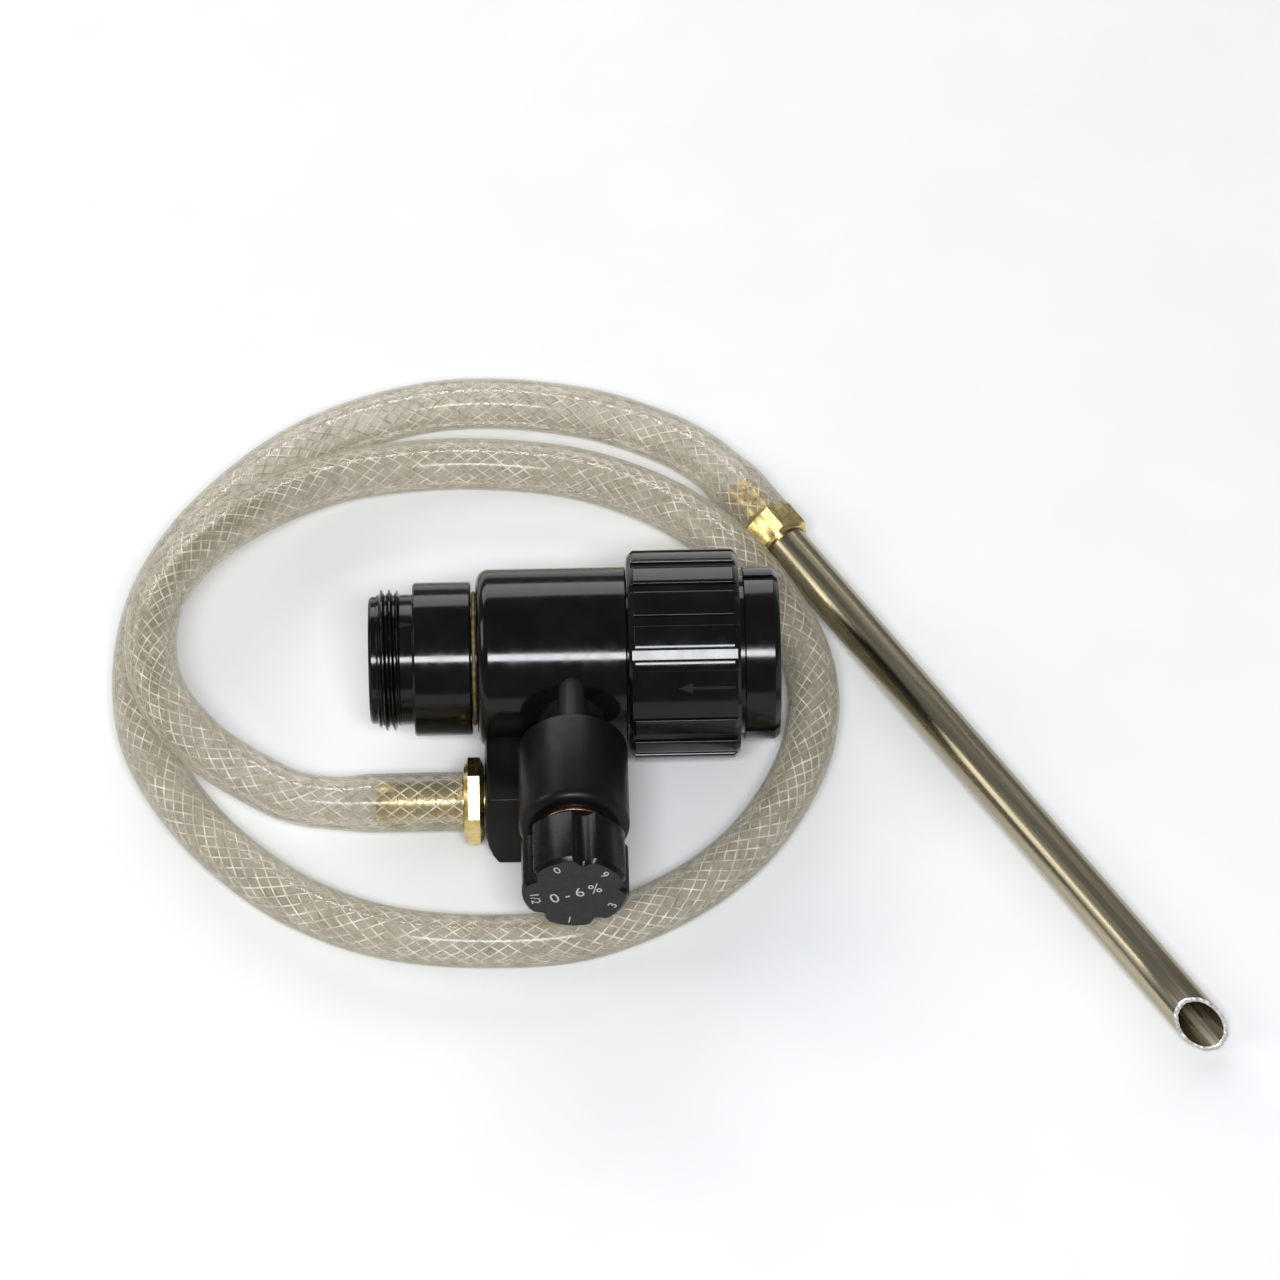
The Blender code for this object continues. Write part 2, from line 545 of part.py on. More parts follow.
def make_hose_nipple():
    shank = [(9.6, 19.8), (PORT_THREAD_R - GAP, 20.8), (PORT_THREAD_R - GAP, HEX_START + 1)]
    shank += [(8.2, HEX_START + 1), (8.2, HEX_END + 0.5)]
    outer = shank + barb_profile(7.4, HEX_END + 3.0, BARB_END, 4, 0.9)
    inner = [(BARB_BORE, 19.8), (BARB_BORE, BARB_END)]
    nipple = turned("hose_nipple", "brass", PORT, outer, inner, sides=FINE)
    nut = prism("nipple_hex_cutter", None, PORT, hexagon(HEX_AF, math.radians(24)),
                HEX_START, HEX_END)
    bevel(nut, 0.8)
    boolean(nipple, nut, "UNION")
    boolean(nipple, rod("nipple_bore_cutter", None, PORT, BARB_BORE, 10, 90))


# ---- pick-up hose, fitting and tube -------------------------------------------
def smooth_route(points, count):
    """Read evenly spaced points from a centripetal Catmull-Rom curve."""
    knots = [Vector(p) for p in points]
    knots = [2 * knots[0] - knots[1]] + knots + [2 * knots[-1] - knots[-2]]
    dense = []
    for p0, p1, p2, p3 in zip(knots, knots[1:], knots[2:], knots[3:]):
        t1 = (p1 - p0).length ** 0.5
        t2 = t1 + (p2 - p1).length ** 0.5
        t3 = t2 + (p3 - p2).length ** 0.5
        for i in range(12):
            t = t1 + (t2 - t1) * i / 12
            a1 = p0 * (t1 - t) / t1 + p1 * t / t1
            a2 = p1 * (t2 - t) / (t2 - t1) + p2 * (t - t1) / (t2 - t1)
            a3 = p2 * (t3 - t) / (t3 - t2) + p3 * (t - t2) / (t3 - t2)
            b1 = a1 * (t2 - t) / t2 + a2 * t / t2
            b2 = a2 * (t3 - t) / (t3 - t1) + a3 * (t - t1) / (t3 - t1)
            dense.append(b1 * (t2 - t) / (t2 - t1) + b2 * (t - t1) / (t2 - t1))
    dense.append(knots[-2])
    run = [0.0]
    for a, b in zip(dense, dense[1:]):
        run.append(run[-1] + (b - a).length)
    even, j = [], 0
    for i in range(count):
        want = run[-1] * i / (count - 1)
        while j < len(run) - 2 and run[j + 1] < want:
            j += 1
        part = (want - run[j]) / (run[j + 1] - run[j])
        point = dense[j].lerp(dense[j + 1], part)
        point.z = max(point.z, HOSE_R + 0.05)
        even.append(point)
    return even


def make_hose():
    curve = bpy.data.curves.new("hose", "CURVE")
    curve.dimensions = "3D"
    curve.bevel_depth = HOSE_R * MM
    curve.bevel_resolution = 2
    curve.use_fill_caps = True
    spline = curve.splines.new("POLY")
    spline.points.add(HOSE_POINTS - 1)
    for point, place_at in zip(spline.points, smooth_route(HOSE_ROUTE, HOSE_POINTS)):
        point.co = (*(place_at * MM), 1)
    place(bpy.data.objects.new("hose", curve), "hose_clear", None)


def make_pickup_tube():
    face, tip = Vector(FITTING_FACE), Vector(TUBE_TIP)
    along = (tip - face).normalized()
    pick = frame("pickup_axis", face, along.to_track_quat("Z", "Y").to_euler())
    length = (tip - face).length
    fitting = barb_profile(-7.4, -1.0, -FITTING_BARB, 3, -0.9)
    outer = [(-r, z) for r, z in reversed(fitting)]
    outer += [(8.0, -1.0), (8.0, 0.5), (8.3, FITTING_HEX - 0.5)]
    inner = [(BARB_BORE, -FITTING_BARB), (BARB_BORE, FITTING_HEX - TUBE_SOCKET)]
    inner += [(TUBE_R + 0.25, FITTING_HEX - TUBE_SOCKET), (TUBE_R + 0.25, FITTING_HEX - 0.5)]
    piece = turned("tube_fitting", "brass", pick, outer, inner, sides=FINE)
    nut = prism("fitting_hex_cutter", None, pick, hexagon(FITTING_AF, math.radians(35)),
                0, FITTING_HEX)
    bevel(nut, 0.8)
    boolean(piece, nut, "UNION")
    boolean(piece, rod("socket_cutter", None, pick, TUBE_R + 0.25,
                       FITTING_HEX - TUBE_SOCKET, FITTING_HEX + 5))
    boolean(piece, rod("fitting_bore_cutter", None, pick, BARB_BORE, -40, 10))
    tube = ring("pickup_tube", "steel", pick, TUBE_R - TUBE_WALL, TUBE_R,
                FITTING_HEX - TUBE_SOCKET + 0.3, length, sides=32)
    slant = rod("tip_cutter", None, None, 60.0, 0.0, 60.0)
    away = (along + Vector(TIP_LEAN)).normalized()
    slant.location = (tip - along * TUBE_R) * MM
    slant.rotation_euler = away.to_track_quat("Z", "Y").to_euler()
    boolean(tube, slant)


make_outlet_adapter()
ring("outlet_seal_ring", "seal_cream", FLOW, SPIGOT_R + GAP, 25.0, COLLAR_END + 0.25,
     BODY_START - 0.25, sides=ROUND)
make_main_body()
make_diffuser()
make_jet_nozzle()
make_swivel()
make_valve_housing()
make_valve_inside()
make_knob()
make_check_valve()
make_hose_nipple()
make_hose()
make_pickup_tube()
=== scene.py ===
"""Foam eductor with its metering valve, braided pick-up hose and steel pick-up tube.

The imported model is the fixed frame. Everything here is in metres in that frame: +X runs
along the flow axis to the swivel inlet, -Y to the metering knob, +Z up. Profiles are given
in millimetres on four axes, the same ones that the CAD uses.
"""
import json
import math

import bpy
from mathutils import Matrix, Vector


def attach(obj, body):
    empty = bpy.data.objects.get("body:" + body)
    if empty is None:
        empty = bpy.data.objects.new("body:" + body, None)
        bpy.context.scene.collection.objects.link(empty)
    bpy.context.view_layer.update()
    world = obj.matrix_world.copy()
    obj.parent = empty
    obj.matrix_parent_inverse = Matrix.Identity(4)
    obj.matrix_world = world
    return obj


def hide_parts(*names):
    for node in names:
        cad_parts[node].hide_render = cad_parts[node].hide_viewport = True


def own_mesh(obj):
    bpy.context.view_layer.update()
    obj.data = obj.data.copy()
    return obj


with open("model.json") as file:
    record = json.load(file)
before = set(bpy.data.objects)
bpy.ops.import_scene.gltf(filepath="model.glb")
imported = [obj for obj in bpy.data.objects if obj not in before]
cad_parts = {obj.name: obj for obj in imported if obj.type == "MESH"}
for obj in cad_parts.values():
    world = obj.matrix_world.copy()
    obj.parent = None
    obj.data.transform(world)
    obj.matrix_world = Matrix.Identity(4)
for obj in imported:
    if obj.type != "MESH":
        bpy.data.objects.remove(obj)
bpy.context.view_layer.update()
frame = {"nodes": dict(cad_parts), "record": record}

MM = 0.001

# ---- camera --------------------------------------------------------------------
VIEW_ELEVATION = math.radians(53.0)
VIEW_YAW = math.radians(1.4)
CAMERA_DISTANCE = 2.2
VIEW_WIDTH = 0.4576            # width of the view at the aim point
SENSOR_MM = 36.0
AIM = Vector((0.02365, 0.04114, 0.04105))
BACK = Vector((-math.sin(VIEW_YAW) * math.cos(VIEW_ELEVATION),
               -math.cos(VIEW_YAW) * math.cos(VIEW_ELEVATION), math.sin(VIEW_ELEVATION)))


def make_camera():
    data = bpy.data.cameras.new("camera")
    data.sensor_width = SENSOR_MM
    data.lens = SENSOR_MM * CAMERA_DISTANCE / VIEW_WIDTH
    data.clip_end = 20.0
    camera = bpy.data.objects.new("camera", data)
    bpy.context.scene.collection.objects.link(camera)
    camera.location = AIM + BACK * CAMERA_DISTANCE
    camera.rotation_euler = BACK.to_track_quat("Z", "Y").to_euler()
    bpy.context.scene.camera = camera


make_camera()

# ---- the four axes ---------------------------------------------------------------
VALVE_TILT = math.radians(5.0)
OUTLET_X, AXIS_Y, AXIS_Z = -73.0, 37.0, 37.5     # outlet end and flow axis, in mm
VALVE_X = -1.3
PORT_H, PORT_D = -25.0, 45.6                     # nipple axis, on the valve axis
FITTING_FACE = Vector((72.3, 116.8, 11.2))
TUBE_TIP = Vector((219.6, -112.8, 7.96))
TUBE_AXIS = (TUBE_TIP - FITTING_FACE).normalized()


def axes(origin, x, y, z):
    """A frame whose Z is the axis of what is turned on it."""
    turn = Matrix((x, y, z)).transposed().to_4x4()
    return Matrix.Translation(Vector(origin) * MM) @ turn


FLOW = axes((OUTLET_X, AXIS_Y, AXIS_Z), (0, 1, 0), (0, 0, 1), (1, 0, 0))
TILT_S, TILT_C = math.sin(VALVE_TILT), math.cos(VALVE_TILT)
VALVE = axes((VALVE_X, AXIS_Y, AXIS_Z), (1, 0, 0), (0, TILT_S, TILT_C), (0, -TILT_C, TILT_S))
PORT = VALVE @ Matrix.Translation(Vector((0, PORT_H, PORT_D)) * MM) \
    @ Matrix.Rotation(-math.pi / 2, 4, "Y")
PICK = Matrix.Translation(FITTING_FACE * MM) \
    @ TUBE_AXIS.to_track_quat("Z", "Y").to_matrix().to_4x4()


# ---- materials -------------------------------------------------------------------
def mixed(tree, factor, low, high, clamp=(0.35, 0.65)):
    """A colour or number that follows a texture from low to high."""
    ramp = tree.nodes.new("ShaderNodeValToRGB")
    ramp.color_ramp.elements[0].position = clamp[0]
    ramp.color_ramp.elements[1].position = clamp[1]
    low = (low,) * 3 if isinstance(low, float) else low
    high = (high,) * 3 if isinstance(high, float) else high
    ramp.color_ramp.elements[0].color = (*low, 1.0)
    ramp.color_ramp.elements[1].color = (*high, 1.0)
    tree.links.new(factor, ramp.inputs["Fac"])
    return ramp.outputs["Color"]


def noise(tree, scale, stretch=(1, 1, 1), detail=4.0):
    """Noise in the piece's own coordinates, scale in cycles per metre, drawn out along an axis."""
    place = tree.nodes.new("ShaderNodeTexCoord")
    mapping = tree.nodes.new("ShaderNodeMapping")
    mapping.inputs["Scale"].default_value = stretch
    made = tree.nodes.new("ShaderNodeTexNoise")
    made.inputs["Scale"].default_value = scale
    made.inputs["Detail"].default_value = detail
    tree.links.new(place.outputs["Object"], mapping.inputs["Vector"])
    tree.links.new(mapping.outputs["Vector"], made.inputs["Vector"])
    return made.outputs["Fac"]


ROUGH_SCALE = 2.3              # patches of roughness are finer than those of colour
BUMP_DISTANCE = 0.05           # mm
WORN_EDGE = (0.53, 0.6)        # pointiness from which an edge looks worn


def surface(name, low, high, rough, scale=400.0, stretch=(1, 1, 1), metallic=0.0, bump=0.0,
            bump_scale=3000.0, bump_stretch=(1, 1, 1), edge=None, specular=0.5):
    """A procedural finish: colour and roughness vary with noise, and bump gives the grain."""
    made = bpy.data.materials.new(name)
    made.use_nodes = True
    tree = made.node_tree
    shader = tree.nodes["Principled BSDF"]
    shader.inputs["Metallic"].default_value = metallic
    shader.inputs["Specular IOR Level"].default_value = specular
    broad = noise(tree, scale, stretch)
    colour = mixed(tree, broad, low, high)
    if edge:
        sharp = tree.nodes.new("ShaderNodeNewGeometry")
        worn = mixed(tree, sharp.outputs["Pointiness"], 0.0, 1.0, WORN_EDGE)
        blend = tree.nodes.new("ShaderNodeMix")
        blend.data_type = "RGBA"
        tree.links.new(worn, blend.inputs["Factor"])
        tree.links.new(colour, blend.inputs["A"])
        blend.inputs["B"].default_value = (*edge, 1.0)
        colour = blend.outputs["Result"]
    tree.links.new(colour, shader.inputs["Base Color"])
    patches = mixed(tree, noise(tree, scale * ROUGH_SCALE, stretch), *rough)
    tree.links.new(patches, shader.inputs["Roughness"])
    if bump:
        height = tree.nodes.new("ShaderNodeBump")
        height.inputs["Strength"].default_value = bump
        height.inputs["Distance"].default_value = BUMP_DISTANCE * MM
        grain = noise(tree, bump_scale, bump_stretch, 2.0)
        tree.links.new(grain, height.inputs["Height"])
        tree.links.new(height.outputs["Normal"], shader.inputs["Normal"])
    return made


TURNED = (1.0, 1.0, 30.0)      # grain drawn round the axis: many cycles along Z
ALONG_AXIS = (1.0, 1.0, 0.02)       # stretched along the axis: drawn grain in bumps, and painted reflection streaks in the steel tube's colour
ANODISED = surface("anodised", (0.0025, 0.0025, 0.0022), (0.005, 0.005, 0.0045), (0.1, 0.16), 90.0,
                   bump=0.05, bump_scale=120.0, bump_stretch=TURNED, edge=(0.02, 0.02, 0.02),
                   specular=0.27)
CAST = surface("anodised_housing", (0.004, 0.004, 0.0037), (0.007, 0.007, 0.0064), (0.3, 0.4), 90.0,
               bump=0.08, bump_scale=1500.0, edge=(0.02, 0.02, 0.02), specular=0.16)
KNOB_BLACK = surface("knob_gloss", (0.004, 0.0036, 0.0032), (0.007, 0.0062, 0.0055), (0.2, 0.28),
                     300.0, bump=0.06, bump_scale=2500.0, edge=(0.03, 0.028, 0.026), specular=0.18)
KNOB_FACE = surface("knob_satin_face", (0.015, 0.0135, 0.0135), (0.02, 0.018, 0.018), (0.45, 0.55),
                    300.0, bump=0.25, bump_scale=4000.0, specular=0.25)
BRASS = surface("brass", (0.66, 0.50, 0.19), (0.78, 0.62, 0.28), (0.24, 0.36), 300.0, metallic=1.0,
                bump=0.07, bump_scale=2600.0, edge=(0.95, 0.85, 0.6))
BRONZE = surface("bronze", (0.42, 0.24, 0.15), (0.55, 0.34, 0.24), (0.25, 0.4), 300.0, metallic=1.0,
                 bump=0.1)
STEEL = surface("steel_bright", (0.5, 0.49, 0.47), (0.62, 0.61, 0.59), (0.18, 0.3), 300.0,
                metallic=1.0, bump=0.1)
# Steel tube: the warm gold-brown tint and the streaks drawn out along the tube are painted
# reflection of warm surroundings; the stretched bump is the drawn grain.
TUBE_STEEL_PAINTED_REFLECTION = surface("steel_tube_painted_reflection", (0.34, 0.3, 0.2), (0.48, 0.43, 0.31), (0.2, 0.34), 260.0,
                     stretch=ALONG_AXIS, metallic=1.0, bump=0.25, bump_scale=1800.0, bump_stretch=ALONG_AXIS)
CUT_STEEL = surface("steel_sawn", (0.55, 0.52, 0.48), (0.85, 0.82, 0.78), (0.35, 0.55), 900.0,
                    metallic=0.8, bump=0.9, bump_scale=1400.0)
RUBBER = surface("rubber_black", (0.012, 0.012, 0.012), (0.022, 0.022, 0.022), (0.55, 0.75), 500.0,
                 bump=0.3)
# Seal: its own yellowish tone is darkened to dark brown, painted shade of the groove behind the
# collar where it sits.
SEAL_PAINTED_SHADE = surface("seal_cream", (0.08, 0.06, 0.02), (0.26, 0.2, 0.08), (0.4, 0.55), 500.0, bump=0.2)
PLASTIC = surface("plastic_white", (0.72, 0.72, 0.68), (0.82, 0.82, 0.78), (0.35, 0.5), 400.0,
                  bump=0.15)
THREAD_WHITE = surface("braid_white", (0.36, 0.33, 0.23), (0.98, 0.95, 0.84), (0.2, 0.35), 210.0,
                       bump=0.3)
PRINT = surface("print_white", (0.34, 0.34, 0.33), (0.5, 0.5, 0.49), (0.4, 0.55), 2500.0, bump=0.2)
MARK = surface("laser_mark", (0.004, 0.004, 0.004), (0.008, 0.008, 0.008), (0.3, 0.4), 2500.0,
               bump=0.3)
FLOOR = surface("floor_pale", (0.86, 0.86, 0.86), (0.88, 0.88, 0.88), (0.55, 0.65), 20.0, bump=0.05)


WALL_CLEAR, WALL_DENSE = 0.24, 0.85     # opacity of the hose wall face on and edge on


def clear_vinyl():
    """Translucent hose wall: clearer face on, denser where it is seen edge on."""
    made = surface("vinyl_clear", (0.52, 0.465, 0.33), (0.70, 0.645, 0.49), (0.08, 0.16), 110.0,
                   bump=0.25, bump_scale=300.0, specular=0.6)
    tree = made.node_tree
    shader = tree.nodes["Principled BSDF"]
    shader.inputs["Transmission Weight"].default_value = 0.55
    shader.inputs["IOR"].default_value = 1.4
    facing = tree.nodes.new("ShaderNodeLayerWeight")
    facing.inputs["Blend"].default_value = 0.35
    dense = mixed(tree, facing.outputs["Facing"], WALL_CLEAR, WALL_DENSE, (0.1, 0.9))
    tree.links.new(dense, shader.inputs["Alpha"])
    return made


VINYL = clear_vinyl()


# ---- shapes ----------------------------------------------------------------------
def piece(name, verts, faces, where, materials, body, slot, nodes=(), smooth=30.0, tags=None):
    """Make a mesh piece from points in metres on a frame, and tie it to its CAD body."""
    mesh = bpy.data.meshes.new(name)
    mesh.from_pydata(verts, [], faces)
    for material in materials:
        mesh.materials.append(material)
    if tags:
        mesh.polygons.foreach_set("material_index", tags)
    mesh.shade_smooth()
    mesh.set_sharp_from_angle(angle=math.radians(smooth))
    obj = bpy.data.objects.new(name, mesh)
    bpy.context.scene.collection.objects.link(obj)
    obj.matrix_world = where
    if nodes:
        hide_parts(*nodes)
    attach(obj, body)
    return obj


def filleted(profile, arc=4):
    """Round each profile corner that carries a third number, its radius."""
    out = []
    for i, point in enumerate(profile):
        if len(point) < 3:
            out.append(point)
            continue
        here = Vector(point[:2])
        back = (Vector(profile[i - 1][:2]) - here).normalized()
        ahead = (Vector(profile[(i + 1) % len(profile)][:2]) - here).normalized()
        half = back.angle(ahead) / 2
        reach = point[2] / math.tan(half)
        middle = here + (back + ahead).normalized() * point[2] / math.sin(half)
        start, end = here + back * reach - middle, here + ahead * reach - middle
        for j in range(arc + 1):
            ray = start.lerp(end, j / arc).normalized() * point[2]
            out.append(tuple(middle + ray))
    return out


def turned(name, profile, where, material, body, slot, nodes=(), angles=96, shape=None, closed=True,
           rim=None, smooth=30.0, bevel=0.0):
    """Turn a profile of (radius, z) in mm about the frame's Z; shape may move each point."""
    profile = filleted(profile)
    if isinstance(angles, int):
        angles = [math.tau * i / angles for i in range(angles)]
    verts, faces, tags = [], [], []
    for r, z in profile:
        for a in angles:
            rr, zz = shape(r, z, a) if shape else (r, z)
            verts.append((rr * math.cos(a) * MM, rr * math.sin(a) * MM, zz * MM))
    count, rows = len(angles), len(profile)
    for i in range(rows if closed else rows - 1):
        for j in range(count):
            k = (j + 1) % count
            n = (i + 1) % rows
            faces.append((i * count + j, i * count + k, n * count + k, n * count + j))
            tags.append(1 if rim and rim[0] <= i < rim[1] else 0)
    materials = material if isinstance(material, tuple) else (material,)
    obj = piece(name, verts, faces, where, materials, body, slot, nodes, smooth, tags)
    if bevel:
        soften(obj, bevel)
    return obj


BEVEL_ANGLE = math.radians(32)


def soften(obj, width):
    """Round the sharp edges of a piece by a width in mm."""
    edge = obj.modifiers.new("edge", "BEVEL")
    edge.width = width * MM
    edge.segments = 2
    edge.limit_method = "ANGLE"
    edge.angle_limit = BEVEL_ANGLE
    edge.harden_normals = True


def tube_shell(name, path, outer, inner, sides, **tie):
    """A pipe wall along a path of points in metres, with an outer and an inner radius in mm."""
    along = frames_on(path)
    verts, faces = [], []
    for radius in (outer, inner):
        for i, (point, x, y) in enumerate(along):
            r = radius(i) * MM
            for j in range(sides):
                a = math.tau * j / sides
                verts.append(point + (x * math.cos(a) + y * math.sin(a)) * r)
    rings = len(path)
    for shell in range(2):
        base = shell * rings * sides
        for i in range(rings - 1):
            for j in range(sides):
                k = (j + 1) % sides
                quad = (base + i * sides + j, base + i * sides + k,
                        base + (i + 1) * sides + k, base + (i + 1) * sides + j)
                faces.append(quad if shell == 0 else quad[::-1])
    for i in (0, rings - 1):
        for j in range(sides):
            k = (j + 1) % sides
            o, n = i * sides, (rings + i) * sides
            quad = (o + j, n + j, n + k, o + k)
            faces.append(quad if i == 0 else quad[::-1])
    return piece(name, verts, faces, Matrix.Identity(4), **tie)


def frames_on(path):
    """Each path point with two cross directions that turn as little as they can."""
    out = []
    x = None
    for i, point in enumerate(path):
        tangent = (path[min(i + 1, len(path) - 1)] - path[max(i - 1, 0)]).normalized()
        x = tangent.cross(Vector((0, 0, 1))) if x is None else x - tangent * x.dot(tangent)
        x.normalize()
        out.append((point, x.copy(), tangent.cross(x)))
    return out


ROUTE_STEPS = 24               # curve steps between two given points


def smooth_route(points, spacing):
    """Evenly spaced points of a centripetal Catmull-Rom curve through the given ones, in metres."""
    knots = [Vector(p) * MM for p in points]
    knots = [2 * knots[0] - knots[1]] + knots + [2 * knots[-1] - knots[-2]]
    dense = []
    for p0, p1, p2, p3 in zip(knots, knots[1:], knots[2:], knots[3:]):
        t1 = (p1 - p0).length ** 0.5
        t2 = t1 + (p2 - p1).length ** 0.5
        t3 = t2 + (p3 - p2).length ** 0.5
        for i in range(ROUTE_STEPS):
            t = t1 + (t2 - t1) * i / ROUTE_STEPS
            a1 = p0 * (t1 - t) / t1 + p1 * t / t1
            a2 = p1 * (t2 - t) / (t2 - t1) + p2 * (t - t1) / (t2 - t1)
            a3 = p2 * (t3 - t) / (t3 - t2) + p3 * (t - t2) / (t3 - t2)
            b1 = a1 * (t2 - t) / t2 + a2 * t / t2
            b2 = a2 * (t3 - t) / (t3 - t1) + a3 * (t - t1) / (t3 - t1)
            dense.append(b1 * (t2 - t) / (t2 - t1) + b2 * (t - t1) / (t2 - t1))
    dense.append(knots[-2])
    run = [0.0]
    for a, b in zip(dense, dense[1:]):
        run.append(run[-1] + (b - a).length)
    count = round(run[-1] / spacing) + 1
    even, j = [], 0
    for i in range(count):
        want = run[-1] * i / (count - 1)
        while j < len(run) - 2 and run[j + 1] < want:
            j += 1
        even.append(dense[j].lerp(dense[j + 1], (want - run[j]) / (run[j + 1] - run[j])))
    return even, run[-1]


# ---- pick-up hose ------------------------------------------------------------------
HOSE_R = 9.525
BORE_R = 6.35
HOSE_SIDES = 36
BARB_SWELL = 1.05              # how far the wall stands out over the barbs
BORE_SWELL = 1.15              # share by which the bore swells more
BARB_LENGTH = 32.0             # length of hose pushed over the nipple
FITTING_BARB = 17.5            # and over the tube fitting's barbs
NIPPLE_FADE, FITTING_FADE = 14.0, 12.0           # lengths over which the swelling dies away
TABLE = 0.05                   # least height of the wall above the floor
# Centreline chosen, the same points as in the CAD, in millimetres.
HOSE_ROUTE = [
    (-72.2, -10.6, 16.5), (-86.0, -10.4, 16.7), (-100.0, -8.0, 17.2),
    (-114.0, -0.8, 18.6), (-133.0, 12.2, 22.4), (-148.0, 31.5, 27.2),
    (-152.2, 51.5, 28.8), (-149.4, 74.0, 28.8), (-138.0, 96.0, 26.5),
    (-117.5, 117.7, 22.2), (-88.0, 137.6, 15.5), (-60.0, 145.6, 12.0),
    (-30.0, 146.9, 10.9), (3.0, 141.7, 10.7), (28.5, 129.9, 11.6),
    (46.0, 115.0, 14.4), (61.0, 98.1, 15.6), (74.5, 77.4, 13.5),
    (83.5, 58.0, 9.8), (86.2, 38.0, 9.6), (83.7, 17.5, 9.6),
    (75.5, -4.0, 9.6), (61.0, -26.5, 9.6), (43.0, -43.5, 9.6),
    (20.0, -57.0, 9.6), (-7.0, -65.3, 9.6), (-63.0, -62.8, 9.6),
    (-98.0, -48.3, 9.6), (-125.0, -25.3, 9.6), (-143.7, 0.0, 9.6),
    (-155.2, 27.0, 9.6), (-157.5, 62.0, 9.6), (-151.0, 93.0, 9.6),
    (-132.0, 126.0, 9.6), (-95.0, 160.0, 9.6), (-47.0, 176.5, 9.6),
    (4.0, 172.2, 9.6), (36.0, 158.5, 10.0), (50.5, 147.2, 10.6),
    (62.1, 132.7, 11.3),
]
NIPPLE_END = (-40.4, -10.6, 16.5)                # against the nipple's hexagon
NIPPLE_MIDDLE = (-56.0, -10.6, 16.5)
BRAID_STARTS, BRAID_PITCH = 12, 76.0
BRAID_R, BRAID_HALF = 8.35, (0.3, 0.13)          # thread half width and half thickness
BRAID_CROSS = 0.1              # how far each winding lies in or out of the middle
BRAID_FINE = 2                 # thread steps per step of the path
RING_SPACING = 4.0


def make_hose():
    """The hose wall with its braid, ending in the tube fitting."""
    last = tuple(FITTING_FACE - TUBE_AXIS * 0.8)
    before = tuple(FITTING_FACE - TUBE_AXIS * 9.0)
    points = [NIPPLE_END, NIPPLE_MIDDLE] + HOSE_ROUTE + [before, last]
    path, length = smooth_route(points, RING_SPACING * MM)
    for point in path:
        point.z = max(point.z, (HOSE_R + TABLE) * MM)
    step = length / (len(path) - 1) / MM

    def swell(i):
        near, far = i * step, (len(path) - 1 - i) * step
        over = max(1 - max(0.0, near - BARB_LENGTH) / NIPPLE_FADE,
                   1 - max(0.0, far - FITTING_BARB) / FITTING_FADE)
        over = max(0.0, min(1.0, over))
        return BARB_SWELL * over * over * (3 - 2 * over)

    wall = tube_shell("hose_wall", path, lambda i: HOSE_R + swell(i),
                      lambda i: BORE_R + BORE_SWELL * swell(i), HOSE_SIDES, materials=(VINYL,),
                      body="root", slot="clear_hose", nodes=("hose",), smooth=60.0)
    braid = make_braid(path, step, swell)
    fitting = make_tube_fitting()


def make_braid(path, step, swell):
    """White reinforcing threads, wound both ways inside the hose wall."""
    along = frames_on(path)
    steps = (len(path) - 1) * BRAID_FINE
    verts, faces = [], []
    for way in (-1, 1):
        for start in range(BRAID_STARTS):
            base = len(verts)
            for i in range(steps + 1):
                at = min(i // BRAID_FINE, len(path) - 2)
                part = i / BRAID_FINE - at
                point = along[at][0].lerp(along[at + 1][0], part)
                x = along[at][1].lerp(along[at + 1][1], part).normalized()
                y = along[at][2].lerp(along[at + 1][2], part).normalized()
                turns = way * (i / BRAID_FINE) * step / BRAID_PITCH
                a = math.tau * (start / BRAID_STARTS + turns)
                out = x * math.cos(a) + y * math.sin(a)
                side = y * math.cos(a) - x * math.sin(a)
                centre = point + out * (BRAID_R + swell(at + part) + BRAID_CROSS * way) * MM
                flat, thick = side * BRAID_HALF[0] * MM, out * BRAID_HALF[1] * MM
                verts += [centre - flat, centre + thick, centre + flat, centre - thick]
            for i in range(steps):
                ring = base + 4 * i
                for j in range(4):
                    k = (j + 1) % 4
                    faces.append((ring + j, ring + k, ring + 4 + k, ring + 4 + j))
            last = base + 4 * steps
            faces += [(base + 3, base + 2, base + 1, base), (last, last + 1, last + 2, last + 3)]
    return piece("hose_braid", verts, faces, Matrix.Identity(4), (THREAD_WHITE,), "root",
                 "clear_hose")


# ---- hexagons, barbs and threads ---------------------------------------------------
def hexagon_angles(turn):
    """Angles that hit each corner of a hexagon exactly."""
    return [turn + math.tau * (i + j / 12) / 6 for i in range(6) for j in range(12)]


def hexagon(across_flats, turn, low, high):
    """Cuts a turned piece to a hexagon between two stations."""
    def shape(r, z, a):
        if not low - 0.01 <= z <= high + 0.01:
            return r, z
        off = (a - turn) % (math.tau / 6) - math.pi / 6
        return min(r, across_flats / 2 / math.cos(off)), z
    return shape


def barbs(radius, low, high, count, depth):
    """Saw-tooth hose barbs, steep on the side that holds the hose."""
    profile = []
    step = (high - low) / count
    for i in range(count):
        at = low + step * i
        profile += [(radius - depth, at), (radius, at + 0.3, 0.15), (radius - 0.1, at + 1.0)]
        profile += [(radius - depth, at + step * 0.97)]
    return profile


FITTING_AF, FITTING_HEX, TUBE_SOCKET = 19.05, 12.5, 9.0
FITTING_TURN = math.radians(35)
FITTING_BORE = 5.0
FITTING_BARBS, FITTING_BARB_STEP = 3, 5.3
TUBE_R, TUBE_WALL = 7.94, 1.25


